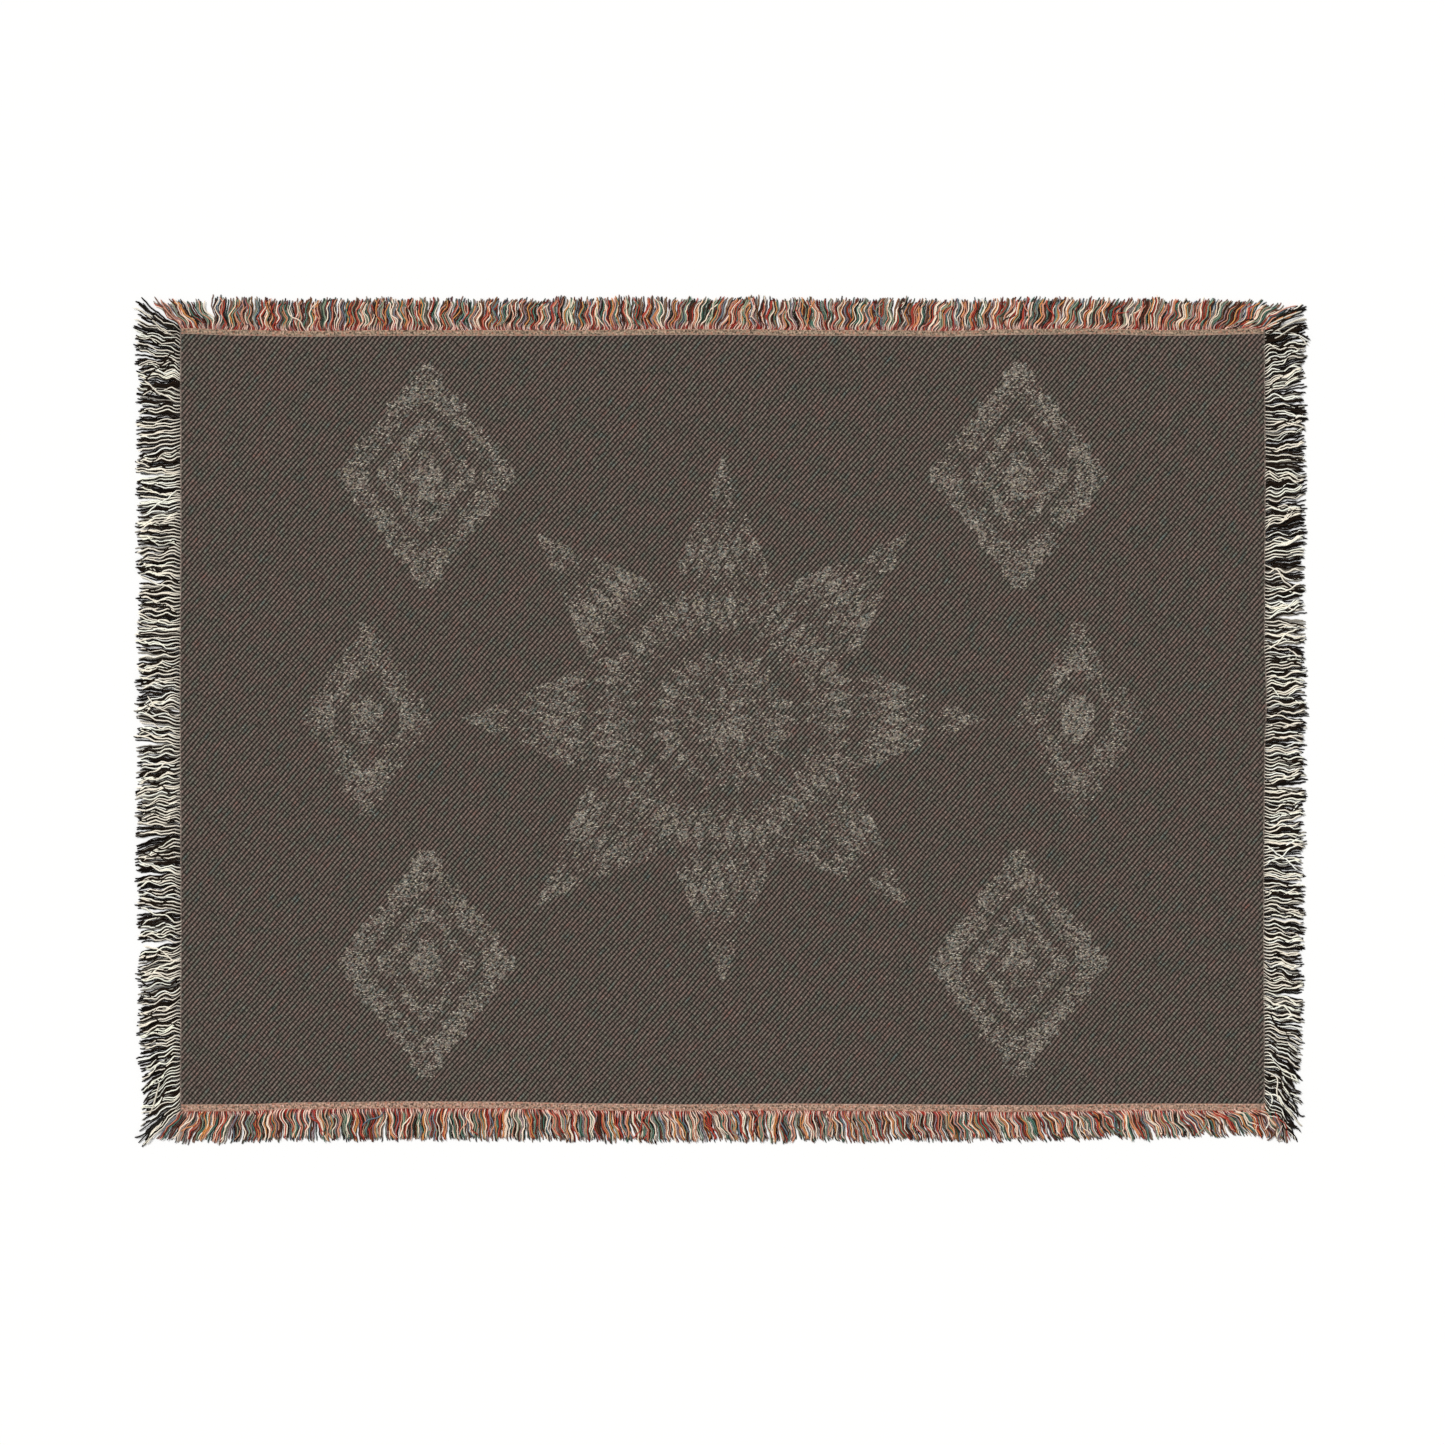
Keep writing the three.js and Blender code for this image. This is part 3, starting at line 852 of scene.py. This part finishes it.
def walk(side, yarns):
    """Centre points of every yarn of a side, from inside the band to the tip, in millimetres."""
    lean = [eased(LEANS[side], yarns.along, column) for column in (1, 2)]
    push = opening(side, yarns.middle)
    place_along = yarns.along.copy()
    place_out = eased(EDGES[side], yarns.along) + PARTING + FRINGES[side]["strip"] - ROOT_INSIDE
    stretch = (yarns.reach + ROOT_INSIDE) / YARN_STEPS
    path = np.empty((len(place_along), YARN_STEPS + 1, 3))
    for i in range(YARN_STEPS + 1):
        share = i / YARN_STEPS
        soft = min(1.0, share / 0.2)  # grows from 0 to 1 over the first fifth
        drawn = (yarns.middle - yarns.along) * yarns.cling * (3 * share**2 - 2 * share**3)
        turn = yarns.phase * 2 + 2 * math.pi * share * yarns.reach / yarns.crimp_length
        bend = yarns.crimp * soft * np.sin(turn)
        x, y = on_edge(side, place_along + drawn + bend, place_out)
        lift = YARNS[side]["radius"] + yarns.layer * 1.1 * soft * (1 - 0.4 * share**2)
        lift = lift + 0.25 * np.sin(yarns.phase * 3 + share * 9) * soft
        inside = max(0.0, 1 - share / 0.12)  # 1 at the root in the band, and soon 0
        z = lift * (1 - inside) + inside * (0.8 + 0.25 * yarns.layer)
        path[:, i] = np.stack([x, y, np.maximum(z, LOWEST)], 1)
        turn = yarns.phase + 2 * math.pi * share * yarns.reach / yarns.kink_length
        wave = yarns.kink * (1 - 0.4 * share) * np.tanh(1.7 * np.sin(turn))
        heading = lean[0] * (1 - share) + lean[1] * share + push
        heading = np.radians(heading + yarns.aside * soft + yarns.late_aside * share + wave)
        place_along = place_along + stretch * np.sin(heading)
        place_out = place_out + stretch * np.cos(heading)
    return path


# %% [markdown]
# At the corners warp and weft meet, and a few yarns lie across all the others. Chance would not put them
# there, so they are listed one by one: each passes through four places in the plan, and arches a little
# over the rest.

# %% Yarns that stray at the corners
BLACK, CREAM, PINK, BROWN = (34, 31, 27), (222, 214, 196), (206, 150, 130), (110, 76, 60)
STRAYS = [  # side, colour, and the places it passes in the plan
    ("left", BLACK, [(-610, 434), (-625, 442), (-636, 452), (-646, 464)]),
    ("left", BLACK, [(-610, 432), (-624, 440), (-634, 449), (-644, 461)]),
    ("left", CREAM, [(-608, 427), (-622, 433), (-634, 444), (-648, 456)]),
    ("left", BLACK, [(-612, 428), (-628, 433), (-642, 435), (-657, 437)]),
    ("left", CREAM, [(-627, -404), (-630, -416), (-634, -430), (-639, -441)]),
    ("left", BLACK, [(-608, -434), (-624, -444), (-638, -458), (-651, -472)]),
    ("left", BLACK, [(-610, -436), (-626, -448), (-641, -460), (-655, -466)]),
    ("left", BLACK, [(-607, -429), (-621, -438), (-636, -449), (-650, -459)]),
    ("top", BROWN, [(-606, 441), (-616, 450), (-625, 460), (-633, 471)]),
    ("top", PINK, [(-602, 440), (-611, 447), (-620, 457), (-626, 468)]),
    ("top", PINK, [(612, 448), (622, 455), (631, 459), (640, 461)]),
    ("right", BLACK, [(606, 440), (620, 449), (636, 456), (651, 457)]),
    ("right", CREAM, [(605, 437), (618, 444), (632, 450), (646, 455)]),
    ("right", BLACK, [(606, 434), (620, 441), (634, 447), (648, 451)]),
    ("right", CREAM, [(606, 430), (621, 435), (636, 443), (651, 446)]),
    ("right", CREAM, [(605, 423), (619, 426), (633, 435), (647, 439)]),
    ("right", CREAM, [(618, -424), (630, -434), (639, -446), (646, -453)]),
    ("right", BLACK, [(622, -410), (634, -420), (640, -436), (649, -442)]),
    ("right", BLACK, [(612, -426), (626, -434), (633, -448), (635, -463)]),
    ("bottom", CREAM, [(612, -436), (625, -448), (619, -463), (624, -470)]),
    ("bottom", BROWN, [(606, -440), (618, -450), (614, -463), (607, -469)]),
    ("bottom", PINK, [(606, -438), (617, -444), (622, -454), (621, -465)]),
]


def stray_paths(side):
    """Centre points and colours of a side's strays, each on a smooth curve through its places."""
    rows = [row for row in STRAYS if row[0] == side]
    turns = np.linspace(0, 1, YARN_STEPS + 1)
    path = np.empty((len(rows), YARN_STEPS + 1, 3))
    for i, (_, _, places) in enumerate(rows):
        bend = np.array(places).T
        for axis in (0, 1):
            curve = np.polyfit(np.linspace(0, 1, len(places)), bend[axis], 3)
            path[i, :, axis] = np.polyval(curve, turns)
        path[i, :, 2] = 1.4 + 5.6 * turns - 6.0 * turns**2  # up over the rest, and down again
    shades = np.array([colour(*row[1])[:3] for row in rows])
    return path, shades


print("strays:", len(STRAYS))

# %% [markdown]
# The points of the one modelled yarn are carried along every path at once, ring by ring, and the copies of
# a side become one mesh. Each yarn is a little thinner at its root, and flattened by its own weight.

# %% Tubes along the paths
ROOT_WIDTH = 0.62  # of its full width
ROOT_LONG = 0.22  # share of the length over which it widens
FLATTENED = 0.85
CLEAR = 0.05  # between the fringe and the floor


def tubes(path, radius):
    """Every point of the yarn model, carried along each path."""
    forward = np.gradient(path, axis=1)
    forward /= np.linalg.norm(forward, axis=2, keepdims=True)
    sideways = np.cross(np.array([0.0, 0.0, 1.0]), forward)
    sideways /= np.linalg.norm(sideways, axis=2, keepdims=True)
    upwards = np.cross(forward, sideways)
    widening = np.minimum(1, yarn_shares / ROOT_LONG)
    thick = radius[:, None] * (ROOT_WIDTH + (1 - ROOT_WIDTH) * widening)
    ring, (x, y) = yarn_rings, yarn_points[:, :2].T
    flat = x[None, :, None] * sideways[:, ring] * thick[..., None]
    flat = flat + y[None, :, None] * upwards[:, ring] * thick[..., None] * FLATTENED
    placed = path[:, ring] + flat
    placed[..., 2] = np.maximum(placed[..., 2], CLEAR)
    return placed


def joined_mesh(name, placed):
    """One mesh of all the copies of the yarn model."""
    count, per = placed.shape[:2]
    sizes = np.array([len(face) for face in yarn_faces])
    corners = np.concatenate([np.array(face) for face in yarn_faces])
    all_corners = (corners[None] + (np.arange(count) * per)[:, None]).ravel()
    all_sizes = np.tile(sizes, count)
    mesh = bpy.data.meshes.new(name)
    mesh.vertices.add(count * per)
    mesh.vertices.foreach_set("co", (placed / 1000).ravel())
    mesh.loops.add(len(all_corners))
    mesh.loops.foreach_set("vertex_index", all_corners.astype(np.int32))
    mesh.polygons.add(len(all_sizes))
    starts = np.concatenate([[0], np.cumsum(all_sizes)[:-1]])
    mesh.polygons.foreach_set("loop_start", starts.astype(np.int32))
    mesh.update(calc_edges=True)
    mesh.polygons.foreach_set("use_smooth", np.ones(len(all_sizes), bool))
    piece = bpy.data.objects.new(name, mesh)
    bpy.context.scene.collection.objects.link(piece)
    return piece


# %% [markdown]
# Each yarn has two maps. The first runs round it in turns and along it in centimetres, for its twist.
# The second gives it a small place of its own in a picture, in rows and columns, with its two ends above
# and below.

# %% Maps for the yarns
def yarn_corner_places():
    """For each corner of the yarn model's faces: its turn round the yarn, and its share of the length."""
    turn = (np.arctan2(yarn_points[:, 1], yarn_points[:, 0]) / (2 * math.pi)) % 1
    share = yarn_points[:, 2] / YARN_STEPS
    places, caps = [], []
    for face in yarn_faces:
        around, cap = turn[face], np.ptp(share[face]) == 0
        if not cap and around.max() - around.min() > 0.5:
            around = np.where(around < 0.5, around + 1, around)
        places += list(zip(around, share[face]))
        caps += [cap] * len(face)
    return np.array(places), np.array(caps)


def add_maps(piece, lengths):
    """A map along each yarn, and one where each yarn has a place of its own."""
    count = len(lengths)
    places, caps = yarn_corner_places()
    along = places[None, :, 1] * lengths[:, None] / 10
    around = np.broadcast_to(places[None, :, 0], along.shape)
    piece.data.uv_layers.new(name="yarn").data.foreach_set(
        "uv", np.stack([around, along], 2).ravel())
    columns = math.ceil(math.sqrt(count * 1.4))  # a place is taller than it is wide
    rows = math.ceil(count / columns)
    column, row = np.arange(count) % columns, np.arange(count) // columns
    u = 0.06 + 0.7 * places[:, 0]
    v = 0.1 + 0.8 * places[:, 1]
    end = places[:, 1] > 0.5
    turn = 2 * math.pi * places[:, 0]
    cap_u, cap_v = 0.5 + 0.3 * np.cos(turn), np.where(end, 0.955, 0.045) + 0.03 * np.sin(turn)
    u, v = np.where(caps, cap_u, u), np.where(caps, cap_v, v)
    own = np.stack([(column[:, None] + u) / columns, (row[:, None] + v) / rows], 2)
    piece.data.uv_layers.new(name="OFBake").data.foreach_set("uv", own.ravel())


# %% [markdown]
# The weft is black and cream in turn, and near the corners its black is fuller and its cream thinner. Near
# its root the weft carries a painted shadow of the cloth's edge. The warp is mixed. Where it leaves the
# cloth it looks redder, so each yarn of it starts in a root colour and soon turns to its own. The yarns
# underneath carry painted shade, as they lie in the shadow of the rest, so that a gap looks deep, and the
# yarns on top a little painted light.

# %% Colours of the yarns
WARP_DYES = [  # red, green, blue as seen, and how many yarns of it in a repeat of the warp
    (244, 222, 200, 4), (206, 146, 120, 3), (166, 64, 50, 3), (80, 42, 30, 2), (204, 138, 80, 2),
    (80, 118, 102, 2), (140, 152, 128, 2), (102, 118, 130, 1), (144, 120, 124, 1), (36, 28, 21, 1),
]
WARP_ROOTS = [(255, 214, 196, 5), (180, 52, 42, 4), (72, 26, 19, 2)]
WEFT_DYES = [(252, 243, 225), (29, 18, 8)]
# painted light on the yarns on top, and painted shade on the yarns underneath, in the shadow of the rest
OVER_PAINTED_LIGHT, UNDER_PAINTED_SHADE = 1.06, 0.34
print("yarns in a repeat of the warp:", sum(row[3] for row in WARP_DYES))


def dip(dyes, many, rng):
    """A dye for each yarn. Each repeat has all the dyes, in an order of its own."""
    repeat = np.repeat(np.arange(len(dyes)), [row[3] for row in dyes])
    order = np.concatenate([rng.permutation(repeat) for _ in range(many // len(repeat) + 1)])
    return np.array([colour(*row[:3])[:3] for row in dyes])[order[:many]]


def lightness_and_layer_shade(over, rng):
    """How light each yarn is beside its dye, as a column: a little at random, with painted light on the
    yarns on top and painted shade on the ones underneath.
    """
    return (rng.uniform(0.86, 1.14, len(over)) * np.where(over, OVER_PAINTED_LIGHT, UNDER_PAINTED_SHADE))[:, None]


def dye_weft(yarns, rng):
    """A colour for each point of each yarn, and how full the yarn is beside the rest."""
    many, level = len(yarns.over), lightness_and_layer_shade(yarns.over, rng)
    black = np.where(yarns.over, (np.arange(many) // 2) % 2, rng.random(many) < 0.85).astype(int)
    black = np.where(rng.random(many) < 0.05, 1 - black, black)
    near_corner = np.exp((np.abs(yarns.along) - HEIGHT / 2) / 45)
    black = np.where(rng.random(many) < 0.12 * near_corner, 1, black)
    own = np.array([colour(*shade)[:3] for shade in WEFT_DYES])[black] * level
    fullness = 1 + near_corner * np.where(black == 1, 0.16, -0.22)
    # painted shadow of the cloth's edge: each weft yarn is darker over the first fifth or so of its length
    return own[:, None] * np.clip(0.66 + yarn_shares * 1.8, 0, 1)[None, :, None], fullness


def dye_warp(yarns, lengths, rng):
    """A colour for each point of each yarn, from its root colour to its own within a centimetre or so."""
    many, level = len(yarns.over), lightness_and_layer_shade(yarns.over, rng)
    own, root = np.empty((many, 3)), np.empty((many, 3))
    for layer in (yarns.over, ~yarns.over):
        own[layer] = dip(WARP_DYES, layer.sum(), rng)
        root[layer] = dip(WARP_ROOTS, layer.sum(), rng)
    far = (yarn_shares[None] * lengths[:, None] - 3) / rng.uniform(4, 10, many)[:, None]
    far = np.clip(far, 0.1, 1)[..., None]
    return (root * level)[:, None] * (1 - far) + (own * level)[:, None] * far


# %% [markdown]
# A yarn is two plies wound round each other, so its relief waves along a slanted line round it, with finer
# fibres over them. Its colour has painted shade along that line, in the grooves between the plies, and the
# fibres vary its tone.

# %% The finish of the yarns
def yarn_finish(name):
    f = Finish(name, roughness=0.95, sheen=0.02, gloss=0.12)
    own = f.node("ShaderNodeAttribute", {"attribute_name": "dyed"})
    around, along = f.parts(f.node("ShaderNodeUVMap", {"uv_map": "yarn"}))
    along = along * 10
    ply = (around * 2 + along / 2.6).wave()
    fibre = f.noise(around * 9, along * 1.7, 3.0)
    # painted shade in the grooves between the plies, following the ply relief; the fibres vary the tone at
    # random
    shade = f.scaled(own, 0.8 + ply * 0.16 + fibre * 0.24)
    return f.paint(shade, ply * 0.6 + fibre * 0.3, depth=0.2)


warp_yarn = yarn_finish("warp_yarn")
weft_yarn = yarn_finish("weft_yarn")
print("finishes:", warp_yarn.name, "and", weft_yarn.name)


# %% Lay the fringe
def lengths_of(path):
    """How long each path is, in millimetres."""
    return np.linalg.norm(np.diff(path, axis=1), axis=2).sum(1)


for side, lot in YARNS.items():
    warp = side in ("top", "bottom")
    rng = np.random.default_rng(lot["seed"])
    yarns = habits_of(side, rng)
    path, fullness = walk(side, yarns), 1
    if warp:
        shades = dye_warp(yarns, lengths_of(path), rng)
    else:
        shades, fullness = dye_weft(yarns, rng)
    strays, stray_shades = stray_paths(side)
    path = np.concatenate([path, strays])
    shades = np.concatenate([shades, np.repeat(stray_shades[:, None], len(yarn_points), 1)])
    radius = lot["radius"] * rng.uniform(0.88, 1.16, len(path))
    radius[:lot["count"]] *= fullness
    piece = joined_mesh("yarns_" + side, tubes(path, radius))
    lengths = lengths_of(path)
    add_maps(piece, lengths)
    dyed = np.ones((len(path), len(yarn_points), 4))
    dyed[..., :3] = np.clip(shades, 0, 1)
    piece.data.attributes.new("dyed", "FLOAT_COLOR", "POINT").data.foreach_set("color", dyed.ravel())
    piece.data.materials.append(warp_yarn if warp else weft_yarn)
    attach(piece, "root")
    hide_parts("fringe_" + side)
    triangles = sum(len(face) - 2 for face in yarn_faces) * len(path)
    print(piece.name, len(path), "yarns,", triangles, "triangles, mean length",
          round(float(lengths.mean()), 1), "mm")
